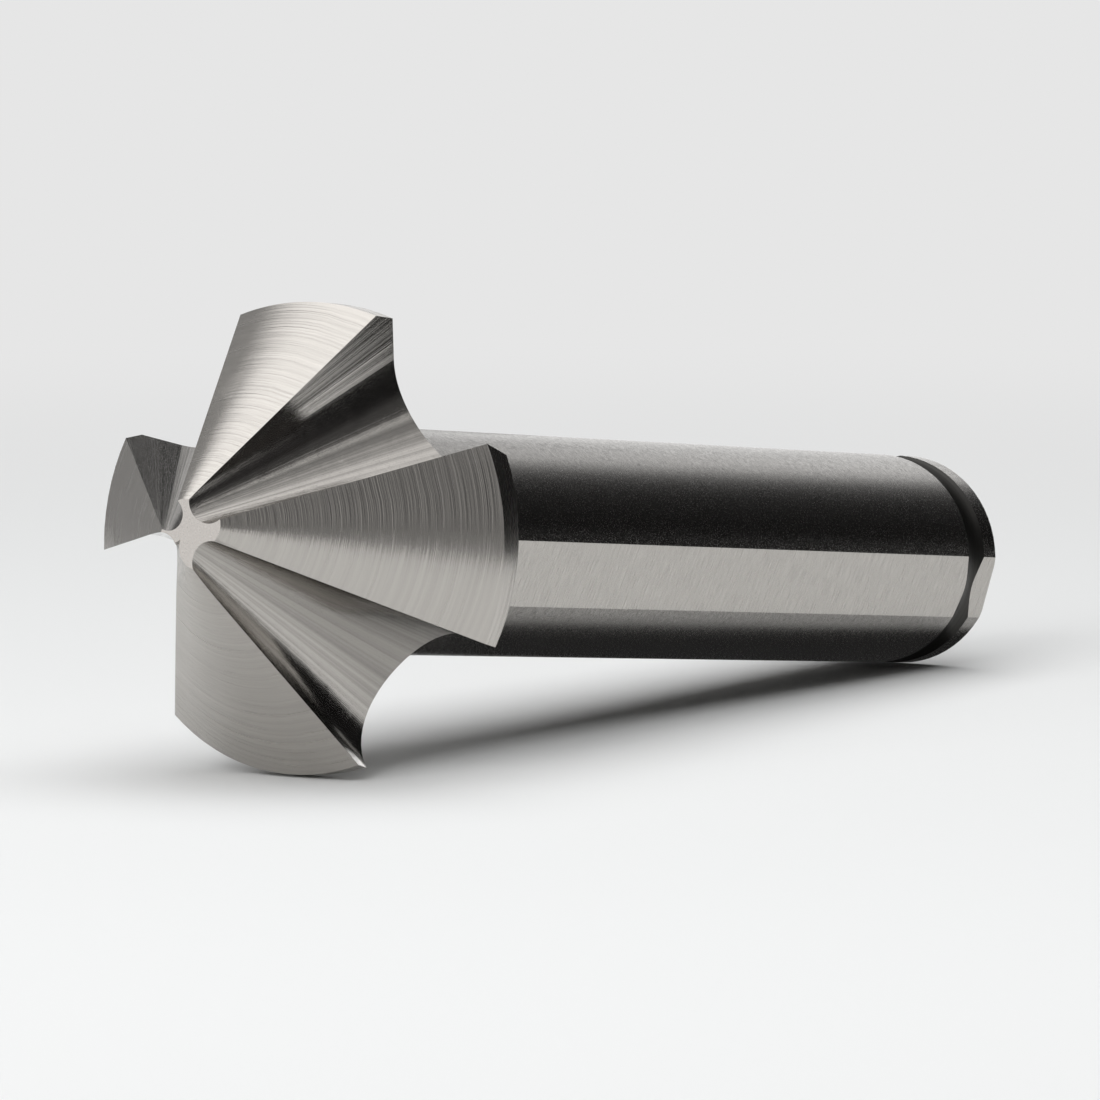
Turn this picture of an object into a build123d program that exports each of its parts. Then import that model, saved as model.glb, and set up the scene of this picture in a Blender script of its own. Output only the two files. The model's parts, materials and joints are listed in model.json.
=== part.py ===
"""Countersink bit: a one-piece, four-flute, 90 degree countersink with a three-flat shank.

The tool is turned, ground and fluted about its own axis (local Z, nose at zero), then laid
down: the rear edge of one lobe's land and the edge of the shank end touch the surface Z = 0.
In the lying frame X runs from the nose to the shank end and Z is up.
Angles round the tool are measured about local Z from the top of the lying tool.
All lengths are in millimetres and all angles in degrees.
"""
from build123d import *
from math import atan2, cos, degrees, radians, sin, sqrt, tan
import os

# ---- overall sizes ----
head_diameter = 20.5
shank_diameter = 10.0
overall_length = 63.0
point_angle = 90.0
nose_flat_diameter = 3.2

# ---- head ----
land_length = 1.31            # cylinder behind each cutting corner, along the axis
back_angle = 19.3             # back face, off square to the axis
back_fillet = 0.8             # root radius between the back face and the shank
relief_offset = 0.66          # sideways shift of the cone each lobe is relieved to
relief_lead = 15.0            # direction of that shift, ahead of the cutting edge

# ---- flutes ----
# One row a flute: its direction round the tool, then the round notch it makes in the
# nose plane: offset towards the cutting edge, distance from the axis, radius.
flutes = [
    (43.9, -0.46, 1.63, 1.00),
    (139.4, -0.04, 1.57, 0.93),
    (244.1, 0.00, 1.67, 0.75),
    (318.9, -0.36, 1.39, 0.71),
]
flute_depth_plane = 10.0      # where the wide end of a flute is measured, from the nose
flute_wide_offset = 0.11      # wide end: offset towards the cutting edge
flute_wide_distance = 9.63    # wide end: distance of the arc centre from the axis
flute_wide_radius = 3.90      # wide end: radius of the rounded bottom
heel_wall_angle = 56.8        # flat heel wall, off the flute's own tangent direction

# ---- shank ----
flat_width = 3.02             # width of each of the three clamping flats
flat_count = 3
flat_azimuth = 103.9          # direction of the first flat
flat_neck = 4.2015            # back of the head to where a flat has its full depth
flat_runout_radius = 12.0     # the flat curves out to the round shank at this radius
groove_width = 1.54
groove_depth = 0.28
groove_to_end = 2.02          # middle of the groove to the shank end
end_chamfer = 0.1
seam_azimuth = 178.2          # the blank's surface seam, near the line it lies on

# ---- derived sizes ----
head_radius = head_diameter / 2
shank_radius = shank_diameter / 2
nose_radius = nose_flat_diameter / 2
cone_slope = tan(radians(point_angle / 2))
corner_height = (head_radius - nose_radius) / cone_slope
head_length = corner_height + land_length
back_depth = (head_radius - shank_radius) * tan(radians(back_angle))
flute_end = head_length + back_depth + 1.0
flat_start = head_length + back_depth + flat_neck
groove_centre = overall_length - groove_to_end
flute_begin = -0.5
flat_half_angle = degrees(atan2(flat_width / 2, sqrt(shank_radius**2 - (flat_width / 2) ** 2)))
flat_distance = shank_radius * cos(radians(flat_half_angle))
groove_radius = ((groove_width / 2) ** 2 + groove_depth**2) / (2 * groove_depth)


def turned_blank():
    """Nose flat, 90 degree cone, land, back face, shank and end chamfer, as one revolve."""
    profile = make_face(
        Polyline(
            (0, 0, 0),
            (nose_radius, 0, 0),
            (head_radius, 0, corner_height),
            (head_radius, 0, head_length),
            (shank_radius, 0, head_length + back_depth),
            (shank_radius, 0, overall_length - end_chamfer),
            (shank_radius - end_chamfer, 0, overall_length),
            (0, 0, overall_length),
            close=True,
        )
    )
    root = profile.vertices().sort_by_distance((shank_radius, 0, head_length + back_depth))[0]
    profile = fillet(root, back_fillet)
    return Rot(0, 0, seam_azimuth + 90) * revolve(profile, Axis.Z)


def flute_section(height, notch_offset, notch_distance, notch_radius):
    """Outline of a flute square to the axis: flat heel wall, round bottom, rake wall."""
    share = height / flute_depth_plane
    offset = notch_offset + (flute_wide_offset - notch_offset) * share
    distance = notch_distance + (flute_wide_distance - notch_distance) * share
    radius = notch_radius + (flute_wide_radius - notch_radius) * share
    outer = max(height, 0) * cone_slope + nose_radius + 3.0
    heel = radians(heel_wall_angle)
    top = max(outer, distance + 0.5)
    heel_point = (-(offset - radius * sin(heel)), distance - radius * cos(heel))
    heel_top = (heel_point[0] + (top - heel_point[1]) / tan(heel), top)
    bottom = (-offset, distance - radius)
    rake_point = (-(offset + radius), distance)
    rake_top = (rake_point[0], top)
    outline = [
        Line(heel_top, heel_point),
        ThreePointArc(heel_point, bottom, rake_point),
        Line(rake_point, rake_top),
        Line(rake_top, heel_top),
    ]
    return Pos(0, 0, height) * make_face(outline)


def flute(azimuth, notch_offset, notch_distance, notch_radius):
    """A flute as ground: its rounded section widens from the nose to behind the head."""
    notch = (notch_offset, notch_distance, notch_radius)
    ends = [flute_section(flute_begin, *notch), flute_section(flute_end, *notch)]
    return Rot(0, 0, azimuth) * loft(ends, ruled=True)


def cutting_azimuth(row):
    """Direction of the cutting corner that a flute leaves at the rim."""
    azimuth, notch_offset = row[0], row[1]
    share = corner_height / flute_depth_plane
    side = notch_offset + (flute_wide_offset - notch_offset) * share
    side += row[3] + (flute_wide_radius - row[3]) * share
    return azimuth + degrees(atan2(side, sqrt(head_radius**2 - side**2)))


def notch_azimuth(row):
    """Direction of the middle of a flute's notch in the nose plane."""
    return row[0] + degrees(atan2(row[1], row[2]))


def relief_cut(start, end, cutting_edge):
    """What is ground off one lobe so that its cone falls away behind the cutting edge."""
    reach = head_radius + 4.0
    span = (end - start) % 360
    wedge = Polyline(
        (0, 0),
        *[
            (
                -reach * sin(radians(start + span * k / 4)),
                reach * cos(radians(start + span * k / 4)),
            )
            for k in range(5)
        ],
        close=True,
    )
    sector = Pos(0, 0, -1) * extrude(make_face(wedge), head_length + 1)
    lead = radians(cutting_edge - relief_lead)
    centre = (-relief_offset * sin(lead), relief_offset * cos(lead))
    edge_radius = nose_radius - relief_offset * cos(radians(relief_lead))
    top = head_length + 2.0
    apex_gap = edge_radius / cone_slope
    cone = Pos(*centre, (top - apex_gap) / 2) * Cone(0, (top + apex_gap) * cone_slope, top + apex_gap)
    return sector - cone


def head_and_shank():
    tool = turned_blank()
    for k, row in enumerate(flutes):
        following = flutes[(k + 1) % len(flutes)]
        tool -= relief_cut(notch_azimuth(row), notch_azimuth(following), cutting_azimuth(row))
    for row in flutes:
        tool -= flute(*row)
    return tool


def clamping_flat(azimuth):
    """Flat ground along the shank, curving out to the full round at its front end."""
    radius = flat_runout_radius
    over = overall_length + 2
    top = shank_radius + 0.3
    rise = top - flat_distance
    run = sqrt(radius**2 - (radius - rise) ** 2)
    middle = radius - sqrt(radius**2 - (run / 2) ** 2)
    side = make_face(
        [
            Line((flat_distance, flat_start), (flat_distance, over)),
            Line((flat_distance, over), (top, over)),
            Line((top, over), (top, flat_start - run)),
            ThreePointArc(
                (top, flat_start - run),
                (flat_distance + middle, flat_start - run / 2),
                (flat_distance, flat_start),
            ),
        ]
    )
    side = Plane(origin=(0, 0, 0), x_dir=(0, 1, 0), z_dir=(1, 0, 0)) * side
    return Rot(0, 0, azimuth) * extrude(side, shank_diameter / 2, both=True)


def neck_groove():
    """Shallow round-bottomed groove turned into the shank near its end."""
    centre = shank_radius - groove_depth + groove_radius
    ring = Pos(centre, 0, groove_centre) * (Plane.XZ * Circle(groove_radius))
    return revolve(ring, Axis.Z)


tool = head_and_shank()
for k in range(flat_count):
    tool -= clamping_flat(flat_azimuth + k * 360 / flat_count)
tool -= neck_groove()

# ---- laid down ----
end_reach = overall_length - end_chamfer - head_length
lie_angle = degrees(atan2(head_radius - shank_radius, end_reach))
lying = Plane(origin=(0, 0, 0), x_dir=(0, 1, 0), z_dir=(1, 0, 0)) * tool
lying = Rot(0, lie_angle, 0) * lying
box = lying.bounding_box()
lying = Pos(-(box.min.X + box.max.X) / 2, -(box.min.Y + box.max.Y) / 2, -box.min.Z) * lying

os.makedirs("parts", exist_ok=True)
countersink = lying.solids()[0]
countersink.label = "countersink_bit"
export_step(countersink, "parts/countersink_bit.step")
print("solids", len(lying.solids()), "volume", round(lying.volume, 1))
print("centre of mass", lying.center(CenterOf.MASS))
print("box", box.size, "lie angle", round(lie_angle, 3))
print("cutting corners", [round(cutting_azimuth(row), 1) for row in flutes])
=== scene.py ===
"""Countersink bit: ground steel finishes on the one-piece tool, and the studio it lies in.

The tool is one solid. Each of its surfaces is given the finish of the operation that made it:
the relieved cone lobes, the faced nose, the flutes, the rim lands and back, the round shank,
its flats and its groove, whose dark colour is painted shade. The marks are laid out in
millimetres in the tool's own frame.
"""

import json
import math

import bpy
from mathutils import Matrix, Vector

bl_info = {
    "name": "Countersink Bit",
    "version": (1, 0, 0),
    "blender": (4, 5, 0),
    "location": "View3D > Sidebar > Countersink",
    "description": "Finishes for a ground steel countersink bit and a pale studio to show it in",
    "category": "Object",
}

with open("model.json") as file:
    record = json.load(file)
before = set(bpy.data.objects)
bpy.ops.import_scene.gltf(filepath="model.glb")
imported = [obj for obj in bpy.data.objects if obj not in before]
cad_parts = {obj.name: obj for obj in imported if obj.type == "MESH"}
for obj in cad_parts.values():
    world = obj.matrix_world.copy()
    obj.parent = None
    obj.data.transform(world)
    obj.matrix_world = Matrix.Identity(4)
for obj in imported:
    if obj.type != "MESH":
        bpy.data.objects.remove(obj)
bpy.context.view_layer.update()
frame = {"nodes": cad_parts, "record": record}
MM = 0.001

# ---- the tool and its own frame: nose at zero, axis towards the shank end, top and side ----
TOOL = frame["nodes"]["countersink_bit"]
MOUNTS = {mount["name"]: mount for mount in frame["record"]["mounts"]}
AXIS = Vector(MOUNTS["shank_end"]["axis"]).normalized()
SIDE = Vector((0.0, 1.0, 0.0))
TOP = AXIS.cross(SIDE).normalized()
LENGTH = 63.0
NOSE = Vector(MOUNTS["shank_end"]["pos_m"]) - AXIS * LENGTH * MM
TURN = Matrix((SIDE, TOP, AXIS)).transposed()

# ---- sizes of the ground surfaces, in millimetres and degrees ----
HEAD_RADIUS = 10.25
NOSE_RADIUS = 1.6
SHANK_RADIUS = 5.0
RIM_START = 8.65
RIM_END = 9.96
SHANK_START = 12.3
FLAT_START = 13.0
FLAT_DISTANCE = 4.767
GROOVE_CENTRE = (5.919, 60.98)
GROOVE_RADIUS = 1.199
WIDE_PLANE = 10.0
WIDE_DISTANCE = 9.63
WIDE_OFFSET = 0.11
WIDE_RADIUS = 3.9
# direction round the tool, then offset, distance and radius of the notch in the nose plane
FLUTES = {
    "upper front flute": (43.9, -0.46, 1.63, 1.00),
    "lower front flute": (139.4, -0.04, 1.57, 0.93),
    "lower back flute": (244.1, 0.00, 1.67, 0.75),
    "upper back flute": (318.9, -0.36, 1.39, 0.71),
}

# ---- how closely a face fits the surface that it is picked for, in millimetres ----
CLOSE = 0.05
NEAR = 0.1
LOBE_GAP = 0.75             # how far the relief takes a lobe below the full cone
LOBE_PAST_RIM = 0.5         # how far a lobe runs on past the start of the rim
# and the same for its direction, as a share of the whole
SQUARE_ON = 0.97            # from this up it points straight out of the surface
LITTLE = 0.1                # up to this it hardly leans

# ---- how the marks are drawn, lengths in millimetres ----
MEAN_RADIUS = 7.0           # marks round the axis have their stated length at this radius
ARC_LENGTH = 600.0          # arcs on a cone lobe: past its ends, so none stops on it
ARC_BAND = 3.0              # widest band of arcs, in cone spacings
SCRATCH_LENGTH = 5.0        # short scratches between the arcs
SCRATCH_GAP = 0.8           # their distance apart, in cone spacings
SCRATCH_SHARE = 0.3         # how much of the marks on a lobe they are
FAN_LENGTH = 13.0           # a flute's vanishing point to its wide end
SHANK_MARK_LENGTH = 0.35
FLAT_MARK_LENGTH = 1.2
RIM_MARK_LENGTH = 4.0
GROOVE_MARK_LENGTH = 8.0
NOISE_RANGE = (0.3, 0.7)    # nearly all of the noise lies between these
PIT_NOISE = (0.62, 0.72)    # noise where a pit begins, and where it is deepest
DULLER = 0.06               # roughness added in the marks
BRIGHTER = 0.04             # roughness taken off between them

# ---- the studio, in metres ----
ROUND_SIDES = 96
FLOOR_RADIUS = 6.0
FLOOR_GAP = 0.00002         # between the tool and the floor
FLOOR_FADE = (0.06, 0.24)   # distance from the middle where the floor begins and ends to fade
SURROUND_RADIUS = 0.62
CEILING_RADIUS = 0.63
CEILING_REACH = 0.64        # the ceiling's levels lie within this distance of its middle
CLOTH_CHANGE = (0.235, 0.285)   # height over which the cloth's low levels turn to the high ones
CLIP_START = 0.01           # nothing nearer to the camera is drawn
SENSOR_WIDTH = 36.0         # millimetres

# what the steel mirrors, as painted reflections: level of the cloth by direction, low down and
# higher up, in degrees, and level of the ceiling across and along the tool, in metres
LOW_CLOTH = (
    (-180, 0.66), (-150, 0.33), (-122, 0.21), (-95, 0.05), (-80, 0.03), (-67, 0.03), (-52, 0.01),
    (-6, 0.01), (0, 0.10), (5, 0.75), (9, 1.0), (15, 1.0), (30, 1.0), (36, 0.90), (42, 0.08),
    (70, 0.08), (85, 0.42), (120, 0.70), (150, 0.80), (180, 0.52),
)
HIGH_CLOTH = (
    (-180, 0.44), (-150, 0.28), (-122, 0.19), (-95, 0.08), (-80, 0.07), (-67, 0.07), (-52, 0.01),
    (-4, 0.01), (0, 0.10), (5, 0.55), (12, 0.55), (20, 0.03), (29, 0.03), (34, 0.50), (75, 0.26),
    (120, 0.55), (180, 0.44),
)
CEILING_ACROSS = (
    (-0.60, 0.58), (-0.52, 0.40), (-0.44, 0.20), (-0.38, 0.17), (-0.30, 0.34), (-0.24, 0.56),
    (-0.10, 0.80), (0.0, 0.88), (0.10, 1.0), (0.30, 1.0), (0.40, 0.68), (0.47, 0.20), (0.60, 0.14),
)
CEILING_ALONG = (
    (-0.60, 0.8), (-0.20, 1.0), (0.05, 1.0), (0.18, 0.8), (0.32, 0.35), (0.45, 0.08), (0.60, 0.05),
)
# cards near the tool, glowing painted reflections: length and width, middle, tilt and direction in
# degrees, and level
CARDS = {
    "right": ((0.308, 0.03), (0.146, -0.048, 0.015), (90.0, 0.0), 0.01),
    "left": ((0.12, 0.03), (-0.085, -0.102, 0.015), (90.0, -32.0), 0.23),
    "back": ((0.16, 0.03), (0.055, 0.115, 0.015), (90.0, -30.0), 0.29),
    # the under card is painted shadow: a dark sheet that the shank's underside mirrors as shade
    "under": ((0.052, 0.0117), (0.014, 0.0016, -0.00001), (0.0, 0.0), 0.03),
}


def to_linear(colour):
    """sRGB hex text to the linear colour that a shader takes."""
    values = [int(colour[k:k + 2], 16) / 255 for k in (0, 2, 4)]
    return [v / 12.92 if v <= 0.04045 else ((v + 0.055) / 1.055) ** 2.4 for v in values]


def add(tree, kind, inputs=None, **settings):
    """Adds one node with its settings, and sets or links its inputs."""
    node = tree.nodes.new(kind)
    for name, value in settings.items():
        setattr(node, name, value)
    for key, value in (inputs or {}).items():
        if isinstance(value, bpy.types.NodeSocket):
            tree.links.new(value, node.inputs[key])
        else:
            node.inputs[key].default_value = value
    return node


def new_material(name):
    """An empty node material, and its tree."""
    material = bpy.data.materials.new(name)
    material.use_nodes = True
    material.node_tree.nodes.clear()
    return material, material.node_tree


# ---- the studio ----

def seen_rays(tree):
    """One for what is seen, directly, in the steel or through glass, and nought for light."""
    path = add(tree, "ShaderNodeLightPath")
    seen = add(tree, "ShaderNodeMath", {
        0: path.outputs["Is Camera Ray"], 1: path.outputs["Is Glossy Ray"],
    }, operation="MAXIMUM")
    seen = add(tree, "ShaderNodeMath", {
        0: seen.outputs[0], 1: path.outputs["Is Transmission Ray"],
    }, operation="MAXIMUM")
    return seen.outputs[0]


def level_along(tree, place, stops, reach):
    """Brightness by place, which changes evenly from stop to stop between -reach and reach."""
    share = add(tree, "ShaderNodeMapRange", {
        "Value": place, "From Min": -reach, "From Max": reach,
    })
    ramp = add(tree, "ShaderNodeValToRGB", {"Fac": share.outputs[0]})
    marks = ramp.color_ramp.elements
    for at, level in stops[1:-1]:
        marks.new((at + reach) / (2 * reach)).color = (level, level, level, 1.0)
    for mark, (at, level) in ((marks[0], stops[0]), (marks[-1], stops[-1])):
        mark.position = (at + reach) / (2 * reach)
        mark.color = (level, level, level, 1.0)
    return ramp.outputs[0]


def only_in_steel(part, name, material):
    """A part of the studio that the tool mirrors, and that neither lights nor hides anything."""
    part.name = name
    part.data.materials.append(material)
    for ray in ("camera", "diffuse", "shadow", "transmission", "volume_scatter"):
        setattr(part, "visible_" + ray, False)


def soft_lamp(name, place, turn, size, power):
    """A lamp that lights softly and is not seen itself, directly or in the steel."""
    bpy.ops.object.light_add(type="AREA", location=place, rotation=turn)
    lamp = bpy.context.object
    lamp.name = name
    lamp.data.shape = "RECTANGLE"
    lamp.data.size, lamp.data.size_y = size
    lamp.data.energy = power
    lamp.visible_camera = False
    lamp.visible_glossy = False


def lay_floor(studio):
    """The floor, which takes the tool's shadow and fades to the room's even grey round it."""
    # no gloss at all, so the tool lies in its own soft shadow
    board, tree = new_material("Matt painted board")
    place = add(tree, "ShaderNodeTexCoord")
    reach = add(tree, "ShaderNodeVectorMath", {
        0: place.outputs["Object"],
    }, operation="LENGTH")
    far = add(tree, "ShaderNodeMapRange", {
        "Value": reach.outputs["Value"], "From Min": FLOOR_FADE[0], "From Max": FLOOR_FADE[1],
    }, interpolation_type="SMOOTHSTEP")
    share = add(tree, "ShaderNodeMath", {
        0: far.outputs[0], 1: seen_rays(tree),
    }, operation="MULTIPLY")
    matt = add(tree, "ShaderNodeBsdfDiffuse", {"Color": (*studio.floor, 1.0)})
    pale = add(tree, "ShaderNodeEmission", {"Color": (*studio.room, 1.0), "Strength": 1.0})
    shown = add(tree, "ShaderNodeMixShader", {
        0: share.outputs[0], 1: matt.outputs[0], 2: pale.outputs[0],
    })
    add(tree, "ShaderNodeOutputMaterial", {"Surface": shown.outputs[0]})
    bpy.ops.mesh.primitive_circle_add(
        vertices=ROUND_SIDES, radius=FLOOR_RADIUS, fill_type="NGON",
        location=(0.0, 0.0, -FLOOR_GAP))
    floor = bpy.context.object
    floor.name = "floor"
    floor.data.materials.append(board)


def hang_cloth(studio):
    """Cloth right round the stage, which only the steel mirrors."""
    # it glows without being a lamp: its dark and bright levels are painted reflections, which give
    # the steel dark bands and bright ones, with soft edges
    cloth, tree = new_material("Glowing cloth, painted reflections")
    place = add(tree, "ShaderNodeTexCoord")
    parts = add(tree, "ShaderNodeSeparateXYZ", {0: place.outputs["Object"]})
    way = add(tree, "ShaderNodeMath", {
        0: parts.outputs[1], 1: parts.outputs[0],
    }, operation="ARCTAN2")
    low, high = [
        level_along(tree, way.outputs[0],
                    [(math.radians(turn), level) for turn, level in stops], math.pi)
        for stops in (LOW_CLOTH, HIGH_CLOTH)
    ]
    band = add(tree, "ShaderNodeMapRange", {
        "Value": parts.outputs[2], "From Min": CLOTH_CHANGE[0], "From Max": CLOTH_CHANGE[1],
    }, interpolation_type="SMOOTHSTEP")
    both = add(tree, "ShaderNodeMix", {
        0: band.outputs[0], 2: low, 3: high,
    }, data_type="FLOAT")
    level = add(tree, "ShaderNodeMath", {
        0: both.outputs[0], 1: studio.cloth_glow,
    }, operation="MULTIPLY")
    glow = add(tree, "ShaderNodeEmission", {"Strength": level.outputs[0]})
    add(tree, "ShaderNodeOutputMaterial", {"Surface": glow.outputs[0]})
    bpy.ops.mesh.primitive_cylinder_add(
        vertices=ROUND_SIDES, radius=SURROUND_RADIUS, depth=studio.ceiling_height,
        end_fill_type="NOTHING", location=(0.0, 0.0, studio.ceiling_height / 2))
    bpy.ops.object.transform_apply(location=True)
    only_in_steel(bpy.context.object, "surround", cloth)


def hang_ceiling(studio):
    """A glowing board over the stage, a painted reflection which only the steel mirrors."""
    # it glows without being a lamp, a painted reflection: bright over and behind the tool, which
    # shows in the top of the shank and the upper lobes, and darker towards its edges
    board, tree = new_material("Glowing ceiling board, painted reflection")
    place = add(tree, "ShaderNodeTexCoord")
    parts = add(tree, "ShaderNodeSeparateXYZ", {0: place.outputs["Object"]})
    across = level_along(tree, parts.outputs[1], CEILING_ACROSS, CEILING_REACH)
    along = level_along(tree, parts.outputs[0], CEILING_ALONG, CEILING_REACH)
    level = add(tree, "ShaderNodeMath", {0: across, 1: along}, operation="MULTIPLY")
    level = add(tree, "ShaderNodeMath", {
        0: level.outputs[0], 1: studio.ceiling_glow,
    }, operation="MULTIPLY")
    glow = add(tree, "ShaderNodeEmission", {"Strength": level.outputs[0]})
    add(tree, "ShaderNodeOutputMaterial", {"Surface": glow.outputs[0]})
    bpy.ops.mesh.primitive_circle_add(
        vertices=ROUND_SIDES, radius=CEILING_RADIUS, fill_type="NGON",
        location=(0.0, 0.0, studio.ceiling_height))
    only_in_steel(bpy.context.object, "ceiling", board)


def stand_cards():
    """Glowing cards beside and under the tool, painted reflections which only the steel mirrors."""
    # glowing even greys, painted reflections which hide the floor's edge from the steel and give
    # the undersides their tone; the dark under card is painted shadow under the shank
    for name, (size, middle, (tilt, turn), level) in CARDS.items():
        paper, tree = new_material(f"Glowing card, painted reflection, {name}")
        glow = add(tree, "ShaderNodeEmission", {"Strength": level})
        add(tree, "ShaderNodeOutputMaterial", {"Surface": glow.outputs[0]})
        bpy.ops.mesh.primitive_plane_add(
            size=1.0, location=middle, rotation=(math.radians(tilt), 0.0, math.radians(turn)))
        card = bpy.context.object
        card.dimensions = (*size, 0.0)
        only_in_steel(card, f"{name}_card", paper)


def hang_lamps(studio):
    """The overhead softbox, and the one beside the nose."""
    soft_lamp("softbox", (*studio.softbox_place, studio.softbox_height), (0.0, 0.0, 0.0),
              studio.softbox_size, studio.softbox_power)
    soft_lamp("side softbox", studio.side_place, (0.0, -studio.side_turn, 0.0),
              (studio.side_size, studio.side_size), studio.side_power)


def pale_room(studio):
    """The room: pale where it is seen, directly or in the steel, and a soft fill elsewhere."""
    world = bpy.data.worlds.new("Pale room")
    world.use_nodes = True
    tree = world.node_tree
    tree.nodes.clear()
    level = add(tree, "ShaderNodeMapRange", {
        "Value": seen_rays(tree), "To Min": studio.room_light, "To Max": 1.0,
    })
    sky = add(tree, "ShaderNodeBackground", {
        "Color": (*studio.room, 1.0), "Strength": level.outputs[0],
    })
    add(tree, "ShaderNodeOutputWorld", {"Surface": sky.outputs[0]})
    return world


def place_camera(studio):
    """The camera, at its place and turn."""
    bpy.ops.object.camera_add(location=studio.camera_place, rotation=studio.camera_turn)
    camera = bpy.context.object
    camera.name = "camera"
    camera.data.sensor_width = SENSOR_WIDTH
    camera.data.lens = studio.camera_lens
    camera.data.clip_start = CLIP_START
    return camera


# ---- marks in the steel ----

def in_tool_frame(tree):
    """The point in millimetres in the tool's own frame: side, top, distance from the nose."""
    place = add(tree, "ShaderNodeTexCoord")
    turned = add(tree, "ShaderNodeMapping", {
        "Vector": place.outputs["Object"],
        "Location": NOSE,
        "Rotation": TURN.to_euler(),
        "Scale": (MM, MM, MM),
    }, vector_type="TEXTURE")
    return turned.outputs["Vector"]


def round_marks(tree, point, spacing, length):
    """Where to read noise so that it runs round the axis: spacing apart and length long, in mm."""
    flat = add(tree, "ShaderNodeVectorMath", {
        0: point, 1: (1.0, 1.0, 0.0),
    }, operation="MULTIPLY")
    away = add(tree, "ShaderNodeVectorMath", {0: flat.outputs[0]}, operation="NORMALIZE")
    turns = add(tree, "ShaderNodeVectorMath", {
        0: away.outputs[0], "Scale": MEAN_RADIUS / length,
    }, operation="SCALE")
    along = add(tree, "ShaderNodeVectorMath", {
        0: point, 1: (0.0, 0.0, 1.0 / spacing),
    }, operation="MULTIPLY")
    where = add(tree, "ShaderNodeVectorMath", {
        0: turns.outputs[0], 1: along.outputs[0],
    }, operation="ADD")
    return where.outputs[0]


def pitted(tree, point, marks, size, amount):
    """The marks with a scatter of small pits, size across in mm."""
    grit = add(tree, "ShaderNodeTexNoise", {
        "Vector": point, "Scale": 1.0 / size, "Detail": 1.0, "Roughness": 0.5,
    })
    pit = add(tree, "ShaderNodeMapRange", {
        "Value": grit.outputs["Fac"],
        "From Min": PIT_NOISE[0], "From Max": PIT_NOISE[1], "To Max": amount,
    })
    return add(tree, "ShaderNodeMath", {
        0: marks, 1: pit.outputs[0],
    }, operation="SUBTRACT").outputs[0]


def steel(tree, colour, marks, depth, roughness, stretch, tangent, turn=0.0, tone=0.16):
    """Bare high-speed steel: the marks are cut in, vary its tone and blur the reflection.

    The blur is longest along the tangent, so the tangent lies across the marks.
    """
    if isinstance(tangent, Vector):
        # a tangent typed on the socket has no effect, so it comes from a node
        tangent = add(tree, "ShaderNodeCombineXYZ", {
            0: tangent.x, 1: tangent.y, 2: tangent.z,
        }).outputs[0]
    cut = add(tree, "ShaderNodeBump", {
        "Height": marks, "Strength": 1.0, "Distance": depth * MM, "Filter Width": 0.1,
    })
    level = add(tree, "ShaderNodeMapRange", {
        "Value": marks, "From Min": NOISE_RANGE[0], "From Max": NOISE_RANGE[1],
        "To Min": 1.0 - tone, "To Max": 1.0 + 0.5 * tone,
    })
    base = add(tree, "ShaderNodeVectorMath", {
        0: tuple(colour), "Scale": level.outputs[0],
    }, operation="SCALE")
    blur = add(tree, "ShaderNodeMapRange", {
        "Value": marks, "From Min": NOISE_RANGE[0], "From Max": NOISE_RANGE[1],
        "To Min": roughness + DULLER, "To Max": roughness - BRIGHTER,
    })
    shader = add(tree, "ShaderNodeBsdfPrincipled", {
        "Base Color": base.outputs[0],
        "Metallic": 1.0,
        "Roughness": blur.outputs[0],
        "Anisotropic": stretch,
        "Anisotropic Rotation": turn,
        "Tangent": tangent,
        "Normal": cut.outputs[0],
    })
    add(tree, "ShaderNodeOutputMaterial", {"Surface": shader.outputs[0]})


# ---- which faces take a finish ----

def finish_faces(material, wanted):
    """Gives the material to the tool's faces that wanted() picks by place and direction."""
    mesh = TOOL.data
    mesh.materials.append(material)
    slot = len(mesh.materials) - 1
    to_tool = TURN.transposed()
    count = 0
    for face in mesh.polygons:
        centre = to_tool @ (face.center - NOSE) / MM
        normal = to_tool @ face.normal
        if wanted(centre, normal):
            face.material_index = slot
            count += 1
    if not count:
        raise RuntimeError(f"no face takes the finish {material.name}")


def away_from_axis(centre):
    """How far a face lies from the axis."""
    return math.hypot(centre.x, centre.y)


def outward(centre, normal):
    """How much a face's direction points straight away from the axis."""
    return (centre.x * normal.x + centre.y * normal.y) / max(away_from_axis(centre), CLOSE)


def on_shank(centre, normal):
    """All of the shank. The flats and the groove are picked out of it afterwards."""
    return centre.z > SHANK_START


def on_flat(centre, normal):
    """A clamping flat, whose plane passes the axis at the flats' distance."""
    passes = centre.x * normal.x + centre.y * normal.y
    return centre.z > FLAT_START and abs(passes - FLAT_DISTANCE) < CLOSE


def in_groove(centre, normal):
    """The groove's round bottom: on its circle, and facing the circle's centre."""
    away = GROOVE_CENTRE[0] - away_from_axis(centre)
    along = GROOVE_CENTRE[1] - centre.z
    facing = abs(normal.z - along / GROOVE_RADIUS) < LITTLE
    return facing and abs(math.hypot(away, along) - GROOVE_RADIUS) < CLOSE


def on_nose(centre, normal):
    """The nose flat, square to the axis."""
    return centre.z < CLOSE and normal.z < -SQUARE_ON


def on_cone(centre, normal):
    """A relieved lobe, which faces as the full cone does and lies a little under it."""
    square = math.sqrt(0.5) * (outward(centre, normal) - normal.z) > SQUARE_ON
    under = centre.z + NOSE_RADIUS - away_from_axis(centre) < LOBE_GAP
    return centre.z < RIM_START + LOBE_PAST_RIM and square and under


def on_rim_or_back(centre, normal):
    """A rim land, or the sloping back of the head with its rounded root."""
    out = away_from_axis(centre) > HEAD_RADIUS - NEAR
    rim = out and RIM_START - NEAR < centre.z < RIM_END + NEAR and abs(normal.z) < LITTLE
    back = RIM_END - NEAR < centre.z < SHANK_START + NEAR and normal.z > LITTLE / 2
    return rim or (back and outward(centre, normal) > -LITTLE / 10)


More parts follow.
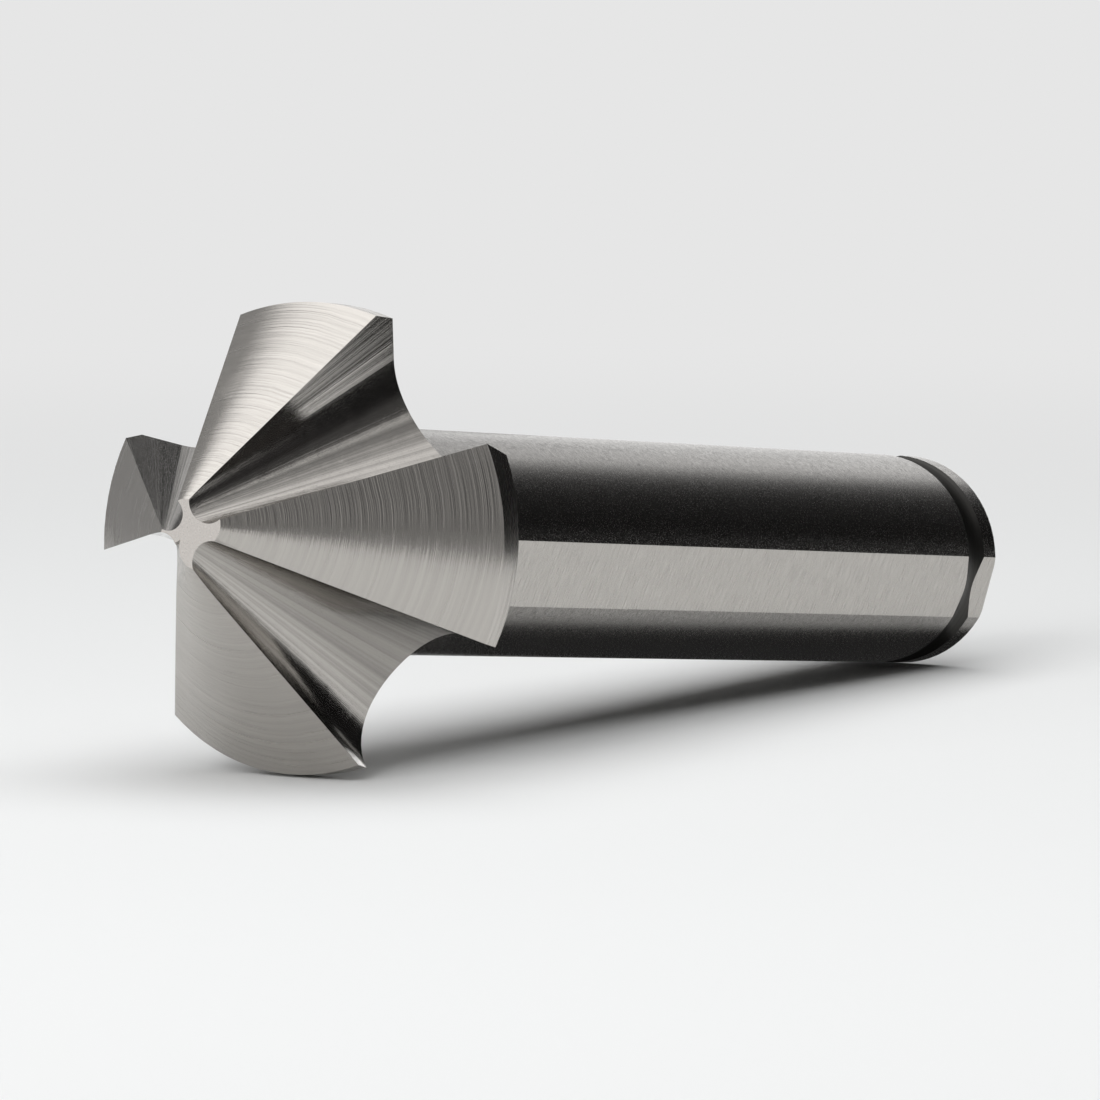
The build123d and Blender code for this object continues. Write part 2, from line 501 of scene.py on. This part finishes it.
def in_flute(name):
    """Picks what is left of the head and lies nearest to the named flute."""
    def wanted(centre, normal):
        others = (on_shank, on_nose, on_cone, on_rim_or_back)
        if any(other(centre, normal) for other in others):
            return False
        way = math.degrees(math.atan2(-centre.x, centre.y))
        apart = {k: abs((way - row[0] + 180.0) % 360.0 - 180.0) for k, row in FLUTES.items()}
        return min(apart, key=apart.get) == name
    return wanted


def vanishing_point(way, offset, distance, radius):
    """Where a flute, narrowing towards the nose and past it, comes down to a point."""
    share = -radius / (WIDE_RADIUS - radius)
    off = offset + (WIDE_OFFSET - offset) * share
    out = distance + (WIDE_DISTANCE - distance) * share
    turn = math.radians(way)
    return Vector((
        -off * math.cos(turn) - out * math.sin(turn),
        -off * math.sin(turn) + out * math.cos(turn),
        WIDE_PLANE * share,
    ))


class SteelFinish(bpy.types.PropertyGroup):
    """Colours and grinding marks of the bare steel."""
    steel: bpy.props.FloatVectorProperty(
        name="Steel", description="Colour that the bare ground steel reflects",
        subtype="COLOR", default=to_linear("bcb8b3"), min=0.0, max=1.0)
    nose_steel: bpy.props.FloatVectorProperty(
        name="Nose steel", description="Colour that the faced nose reflects",
        subtype="COLOR", default=to_linear("cec9c4"), min=0.0, max=1.0)
    shank_steel: bpy.props.FloatVectorProperty(
        name="Shank steel", description="Colour that the round shank reflects",
        subtype="COLOR", default=to_linear("a8a5a1"), min=0.0, max=1.0)
    # painted shade: the groove's dark colour stands in for the shade in its recess
    groove_shade_steel: bpy.props.FloatVectorProperty(
        name="Dark steel", description="Colour that the groove reflects",
        subtype="COLOR", default=to_linear("4a4947"), min=0.0, max=1.0)
    cone_spacing: bpy.props.FloatProperty(
        name="Cone mark spacing",
        description="Distance between the arcs ground on the cone lobes, in mm",
        default=0.08, min=0.02, max=2.0)
    cone_depth: bpy.props.FloatProperty(
        name="Cone mark depth", description="Depth of the arcs on the cone lobes, in mm",
        default=0.075, min=0.0, max=0.1, precision=4)
    cone_roughness: bpy.props.FloatProperty(
        name="Cone roughness", description="Blur of the reflection in the cone lobes",
        subtype="FACTOR", default=0.24, min=0.0, max=1.0)
    nose_grain: bpy.props.FloatProperty(
        name="Nose grain", description="Size of the grain on the nose flat, in mm",
        default=1 / 12, min=0.02, max=2.0)
    nose_depth: bpy.props.FloatProperty(
        name="Nose grain depth", description="Depth of the grain on the nose flat, in mm",
        default=0.004, min=0.0, max=0.1, precision=4)
    nose_roughness: bpy.props.FloatProperty(
        name="Nose roughness", description="Blur of the reflection in the nose flat",
        subtype="FACTOR", default=0.24, min=0.0, max=1.0)
    flute_spacing: bpy.props.FloatProperty(
        name="Flute mark spacing",
        description="Distance between the marks at the wide end of a flute, in mm",
        default=0.65, min=0.02, max=2.0)
    flute_depth: bpy.props.FloatProperty(
        name="Flute mark depth", description="Depth of the marks along the flutes, in mm",
        default=0.012, min=0.0, max=0.1, precision=4)
    flute_roughness: bpy.props.FloatProperty(
        name="Flute roughness", description="Blur of the reflection in the flutes",
        subtype="FACTOR", default=0.13, min=0.0, max=1.0)
    rim_spacing: bpy.props.FloatProperty(
        name="Rim mark spacing", description="Distance between the rings on rim and back, in mm",
        default=0.15, min=0.02, max=2.0)
    rim_depth: bpy.props.FloatProperty(
        name="Rim mark depth", description="Depth of the rings on rim and back, in mm",
        default=0.002, min=0.0, max=0.1, precision=4)
    rim_roughness: bpy.props.FloatProperty(
        name="Rim roughness", description="Blur of the reflection in rim and back",
        subtype="FACTOR", default=0.25, min=0.0, max=1.0)
    shank_spacing: bpy.props.FloatProperty(
        name="Shank mark spacing", description="Distance between the marks round the shank, in mm",
        default=0.09, min=0.02, max=2.0)
    shank_depth: bpy.props.FloatProperty(
        name="Shank mark depth", description="Depth of the marks round the shank, in mm",
        default=0.004, min=0.0, max=0.1, precision=4)
    shank_roughness: bpy.props.FloatProperty(
        name="Shank roughness", description="Blur of the reflection in the round shank",
        subtype="FACTOR", default=0.22, min=0.0, max=1.0)
    flat_angle: bpy.props.FloatProperty(
        name="Flat mark angle", description="Direction of the marks on a flat, from the axis",
        subtype="ANGLE", default=math.radians(78.0))
    flat_spacing: bpy.props.FloatProperty(
        name="Flat mark spacing", description="Distance between the marks on a flat, in mm",
        default=0.08, min=0.02, max=2.0)
    flat_depth: bpy.props.FloatProperty(
        name="Flat mark depth", description="Depth of the marks on a flat, in mm",
        default=0.001, min=0.0, max=0.1, precision=4)
    flat_roughness: bpy.props.FloatProperty(
        name="Flat roughness", description="Blur of the reflection in the flats",
        subtype="FACTOR", default=0.25, min=0.0, max=1.0)
    groove_spacing: bpy.props.FloatProperty(
        name="Groove mark spacing", description="Distance between the rings in the groove, in mm",
        default=0.08, min=0.02, max=2.0)
    groove_depth: bpy.props.FloatProperty(
        name="Groove mark depth", description="Depth of the rings in the groove, in mm",
        default=0.004, min=0.0, max=0.1, precision=4)
    groove_roughness: bpy.props.FloatProperty(
        name="Groove roughness", description="Blur of the reflection in the groove",
        subtype="FACTOR", default=0.4, min=0.0, max=1.0)


class Studio(bpy.types.PropertyGroup):
    """The pale floor, the soft lamps, what the steel mirrors, and the camera."""
    floor: bpy.props.FloatVectorProperty(
        name="Floor", description="Colour of the floor",
        subtype="COLOR", default=to_linear("eaebeb"), min=0.0, max=1.0)
    room: bpy.props.FloatVectorProperty(
        name="Room", description="Colour of the room round the floor",
        subtype="COLOR", default=to_linear("e6e6e6"), min=0.0, max=1.0)
    room_light: bpy.props.FloatProperty(
        name="Room light", description="How strongly the room lights the scene",
        default=0.05, min=0.0, max=10.0)
    ceiling_height: bpy.props.FloatProperty(
        name="Ceiling height", description="Height of the ceiling board over the floor",
        unit="LENGTH", default=0.5, min=0.1)
    ceiling_glow: bpy.props.FloatProperty(
        name="Ceiling glow", description="Brightness of the ceiling board where it is brightest",
        default=1.8, min=0.0, max=10.0)
    cloth_glow: bpy.props.FloatProperty(
        name="Cloth glow", description="Brightness of the cloth where it is palest",
        default=1.25, min=0.0, max=10.0)
    softbox_height: bpy.props.FloatProperty(
        name="Softbox height", description="Height of the overhead softbox over the floor",
        unit="LENGTH", default=0.48, min=0.1)
    softbox_size: bpy.props.FloatVectorProperty(
        name="Softbox size", description="Length and width of the overhead softbox",
        unit="LENGTH", size=2, default=(1.0, 0.75), min=0.05)
    softbox_place: bpy.props.FloatVectorProperty(
        name="Softbox place", description="Where over the floor the softbox hangs",
        unit="LENGTH", size=2, default=(-0.1, -0.03))
    softbox_power: bpy.props.FloatProperty(
        name="Softbox power", description="Power of the overhead softbox",
        unit="POWER", default=3.85, min=0.0)
    side_place: bpy.props.FloatVectorProperty(
        name="Side softbox place", description="Where the softbox beside the nose stands",
        subtype="TRANSLATION", unit="LENGTH", default=(-0.6, 0.0, 0.25))
    side_turn: bpy.props.FloatProperty(
        name="Side softbox turn", description="How far the side softbox is turned up",
        subtype="ANGLE", default=math.radians(67.0))
    side_size: bpy.props.FloatProperty(
        name="Side softbox size", description="Side of the softbox beside the nose",
        unit="LENGTH", default=0.4, min=0.05)
    side_power: bpy.props.FloatProperty(
        name="Side softbox power", description="Power of the softbox beside the nose",
        unit="POWER", default=2.4, min=0.0)
    camera_place: bpy.props.FloatVectorProperty(
        name="Camera", description="Where the camera stands",
        subtype="TRANSLATION", unit="LENGTH", default=(-0.354806, -0.213408, 0.046924))
    camera_turn: bpy.props.FloatVectorProperty(
        name="Camera turn", description="How the camera is turned",
        subtype="EULER",
        default=(math.radians(84.623), math.radians(0.094), math.radians(-58.836)))
    camera_lens: bpy.props.FloatProperty(
        name="Lens", description="Focal length on a 36 mm sensor, in mm",
        default=299.29, min=10.0)


class COUNTERSINK_OT_stage(bpy.types.Operator):
    """Lays the floor, hangs the lamps and what the steel mirrors, and places the camera"""
    bl_idname = "countersink.stage"
    bl_label = "Studio"

    def execute(self, context):
        scene = context.scene
        studio = scene.countersink_studio
        bpy.ops.object.select_all(action="DESELECT")
        lay_floor(studio)
        hang_cloth(studio)
        hang_ceiling(studio)
        stand_cards()
        hang_lamps(studio)
        scene.world = pale_room(studio)
        scene.camera = place_camera(studio)
        scene.view_settings.view_transform = "Standard"
        bpy.ops.object.select_all(action="DESELECT")
        return {"FINISHED"}


class COUNTERSINK_OT_cone(bpy.types.Operator):
    """Finishes the relieved cone lobes and the nose flat"""
    bl_idname = "countersink.cone"
    bl_label = "Cone lobes"

    def execute(self, context):
        look = context.scene.countersink_steel

        # High-speed steel, relief ground: the wheel leaves fine arcs round the axis, which catch
        # the light as thin lines and draw the reflections out along the cone. Real arcs lie some
        # hundredths of a millimetre apart, too fine to show, so they are drawn further apart.
        ground, tree = new_material("High-speed steel, relief ground")
        point = in_tool_frame(tree)
        arcs = add(tree, "ShaderNodeTexNoise", {
            "Vector": round_marks(tree, point, ARC_BAND * look.cone_spacing, ARC_LENGTH),
            "Scale": 1.0, "Detail": 3.0, "Roughness": 0.75,
        })
        scratches = add(tree, "ShaderNodeTexNoise", {
            "Vector": round_marks(tree, point, SCRATCH_GAP * look.cone_spacing, SCRATCH_LENGTH),
            "Scale": 1.0, "Detail": 2.0, "Roughness": 0.7,
        })
        marks = add(tree, "ShaderNodeMix", {
            0: SCRATCH_SHARE, 2: arcs.outputs["Fac"], 3: scratches.outputs["Fac"],
        }, data_type="FLOAT")
        steel(tree, look.steel, marks.outputs[0], look.cone_depth, look.cone_roughness,
              stretch=0.6, tangent=AXIS, tone=0.14)
        finish_faces(ground, on_cone)

        # High-speed steel, faced: the point is ground back to a small flat with a fine even
        # grain, so it looks satin and pale. The grain is drawn coarser than the real one, which
        # would not show.
        faced, tree = new_material("High-speed steel, faced")
        grain = add(tree, "ShaderNodeTexNoise", {
            "Vector": in_tool_frame(tree), "Scale": 1.0 / look.nose_grain,
            "Detail": 3.0, "Roughness": 0.7,
        })
        steel(tree, look.nose_steel, grain.outputs["Fac"], look.nose_depth, look.nose_roughness,
              stretch=0.0, tangent=SIDE)
        finish_faces(faced, on_nose)
        return {"FINISHED"}


class COUNTERSINK_OT_flutes(bpy.types.Operator):
    """Finishes the four flutes, each with marks that run from its own vanishing point"""
    bl_idname = "countersink.flutes"
    bl_label = "Flutes"

    def execute(self, context):
        look = context.scene.countersink_steel

        # High-speed steel, form ground: a smooth wheel run along the flute leaves it almost
        # mirror bright, with light and dark bands that fan out from its vanishing point. The
        # real lines are far finer and would not show, so they are drawn as broad bands.
        for name, row in FLUTES.items():
            tip = vanishing_point(*row)
            ground, tree = new_material(f"High-speed steel, form ground, {name}")
            point = in_tool_frame(tree)
            from_tip = add(tree, "ShaderNodeVectorMath", {
                0: point, 1: tip,
            }, operation="SUBTRACT")
            parts = add(tree, "ShaderNodeSeparateXYZ", {0: from_tip.outputs[0]})
            ahead = add(tree, "ShaderNodeCombineXYZ", {k: parts.outputs[2] for k in range(3)})
            fan = add(tree, "ShaderNodeVectorMath", {
                0: from_tip.outputs[0], 1: ahead.outputs[0],
            }, operation="DIVIDE")
            lines = add(tree, "ShaderNodeVectorMath", {
                0: fan.outputs[0], "Scale": FAN_LENGTH / look.flute_spacing,
            }, operation="SCALE")
            marks = add(tree, "ShaderNodeTexNoise", {
                "Vector": lines.outputs[0], "Scale": 1.0, "Detail": 5.0, "Roughness": 0.75,
            })
            marks = pitted(tree, point, marks.outputs["Fac"], size=0.045, amount=0.1)
            # the tangent runs from the vanishing point, and a quarter turn lays it across
            along = add(tree, "ShaderNodeVectorMath", {
                0: add(tree, "ShaderNodeTexCoord").outputs["Object"], 1: NOSE + TURN @ tip * MM,
            }, operation="SUBTRACT")
            steel(tree, look.steel, marks, look.flute_depth, look.flute_roughness,
                  stretch=0.5, tangent=along.outputs[0], turn=0.25, tone=0.42)
            finish_faces(ground, in_flute(name))
        return {"FINISHED"}


class COUNTERSINK_OT_rim(bpy.types.Operator):
    """Finishes the rim lands and the back of the head"""
    bl_idname = "countersink.rim"
    bl_label = "Rim and back"

    def execute(self, context):
        look = context.scene.countersink_steel

        # High-speed steel, cylindrically ground: fine rings round the rim and the back spread
        # a highlight sideways. They are drawn coarser than the real ones, which would not show.
        ground, tree = new_material("High-speed steel, cylindrically ground")
        point = in_tool_frame(tree)
        rings = add(tree, "ShaderNodeTexNoise", {
            "Vector": round_marks(tree, point, look.rim_spacing, RIM_MARK_LENGTH),
            "Scale": 1.0, "Detail": 3.0, "Roughness": 0.6,
        })
        steel(tree, look.steel, rings.outputs["Fac"], look.rim_depth, look.rim_roughness,
              stretch=0.5, tangent=AXIS)
        finish_faces(ground, on_rim_or_back)
        return {"FINISHED"}


class COUNTERSINK_OT_shank(bpy.types.Operator):
    """Finishes the round shank and its end, the three clamping flats and the groove"""
    bl_idname = "countersink.shank"
    bl_label = "Shank and flats"

    def execute(self, context):
        look = context.scene.countersink_steel

        # High-speed steel, centreless ground: short marks round the shank and small pits give it
        # a fine grain, and its long highlights soft edges. Real marks are a few hundredths of a
        # millimetre apart, too fine to show, so marks and pits are drawn coarser.
        ground, tree = new_material("High-speed steel, centreless ground")
        point = in_tool_frame(tree)
        grain = add(tree, "ShaderNodeTexNoise", {
            "Vector": round_marks(tree, point, look.shank_spacing, SHANK_MARK_LENGTH),
            "Scale": 1.0, "Detail": 3.0, "Roughness": 0.6,
        })
        marks = pitted(tree, point, grain.outputs["Fac"], size=0.05, amount=0.6)
        steel(tree, look.shank_steel, marks, look.shank_depth, look.shank_roughness,
              stretch=0.75, tangent=AXIS, tone=0.3)
        finish_faces(ground, on_shank)

        # High-speed steel, surface ground: slanting marks across each flat, which stays an even
        # satin grey. They are drawn coarser than the real ones, which would not show.
        flat, tree = new_material("High-speed steel, surface ground")
        parts = add(tree, "ShaderNodeSeparateXYZ", {0: in_tool_frame(tree)})
        back = add(tree, "ShaderNodeMath", {0: parts.outputs[0], 1: -1.0}, operation="MULTIPLY")
        around = add(tree, "ShaderNodeMath", {
            0: back.outputs[0], 1: parts.outputs[1],
        }, operation="ARCTAN2")
        across = add(tree, "ShaderNodeMath", {
            0: around.outputs[0], 1: SHANK_RADIUS,
        }, operation="MULTIPLY")
        plane = add(tree, "ShaderNodeCombineXYZ", {0: parts.outputs[2], 1: across.outputs[0]})
        slanted = add(tree, "ShaderNodeMapping", {
            "Vector": plane.outputs[0], "Rotation": (0.0, 0.0, look.flat_angle),
        })
        lines = add(tree, "ShaderNodeVectorMath", {
            0: slanted.outputs[0], 1: (1.0 / FLAT_MARK_LENGTH, 1.0 / look.flat_spacing, 0.0),
        }, operation="MULTIPLY")
        marks = add(tree, "ShaderNodeTexNoise", {
            "Vector": lines.outputs[0], "Scale": 1.0, "Detail": 3.0, "Roughness": 0.6,
        })
        steel(tree, look.steel, marks.outputs["Fac"], look.flat_depth, look.flat_roughness,
              stretch=0.5, tangent=AXIS)
        finish_faces(flat, on_flat)

        # High-speed steel, turned: the groove was not ground afterwards, so it is dull, and its
        # dark colour is painted shade in the recess. Its turning marks are drawn coarser than the
        # real ones, which would not show.
        dark, tree = new_material("High-speed steel, turned, groove with painted shade")
        point = in_tool_frame(tree)
        rings = add(tree, "ShaderNodeTexNoise", {
            "Vector": round_marks(tree, point, look.groove_spacing, GROOVE_MARK_LENGTH),
            "Scale": 1.0, "Detail": 2.0, "Roughness": 0.6,
        })
        steel(tree, look.groove_shade_steel, rings.outputs["Fac"], look.groove_depth, look.groove_roughness,
              stretch=0.3, tangent=AXIS)
        finish_faces(dark, in_groove)
        return {"FINISHED"}


class COUNTERSINK_PT_panel(bpy.types.Panel):
    """Lists the finishes and the studio"""
    bl_idname = "COUNTERSINK_PT_panel"
    bl_label = "Countersink bit"
    bl_space_type = "VIEW_3D"
    bl_region_type = "UI"
    bl_category = "Countersink"

    def draw(self, context):
        for group in (context.scene.countersink_studio, context.scene.countersink_steel):
            box = self.layout.box()
            for name in group.__annotations__:
                box.prop(group, name)
        for step in STEPS:
            self.layout.operator(step.bl_idname)


STEPS = (
    COUNTERSINK_OT_stage,
    COUNTERSINK_OT_rim,
    COUNTERSINK_OT_flutes,
    COUNTERSINK_OT_cone,
    COUNTERSINK_OT_shank,
)
CLASSES = (SteelFinish, Studio, *STEPS, COUNTERSINK_PT_panel)


def register():
    for item in CLASSES:
        bpy.utils.register_class(item)
    bpy.types.Scene.countersink_steel = bpy.props.PointerProperty(type=SteelFinish)
    bpy.types.Scene.countersink_studio = bpy.props.PointerProperty(type=Studio)


def unregister():
    del bpy.types.Scene.countersink_steel
    del bpy.types.Scene.countersink_studio
    for item in reversed(CLASSES):
        bpy.utils.unregister_class(item)


def main():
    register()
    TOOL.data.materials.clear()
    bpy.ops.countersink.stage()
    bpy.ops.countersink.rim()
    bpy.ops.countersink.flutes()
    bpy.ops.countersink.cone()
    bpy.ops.countersink.shank()


if __name__ == "__main__":
    main()
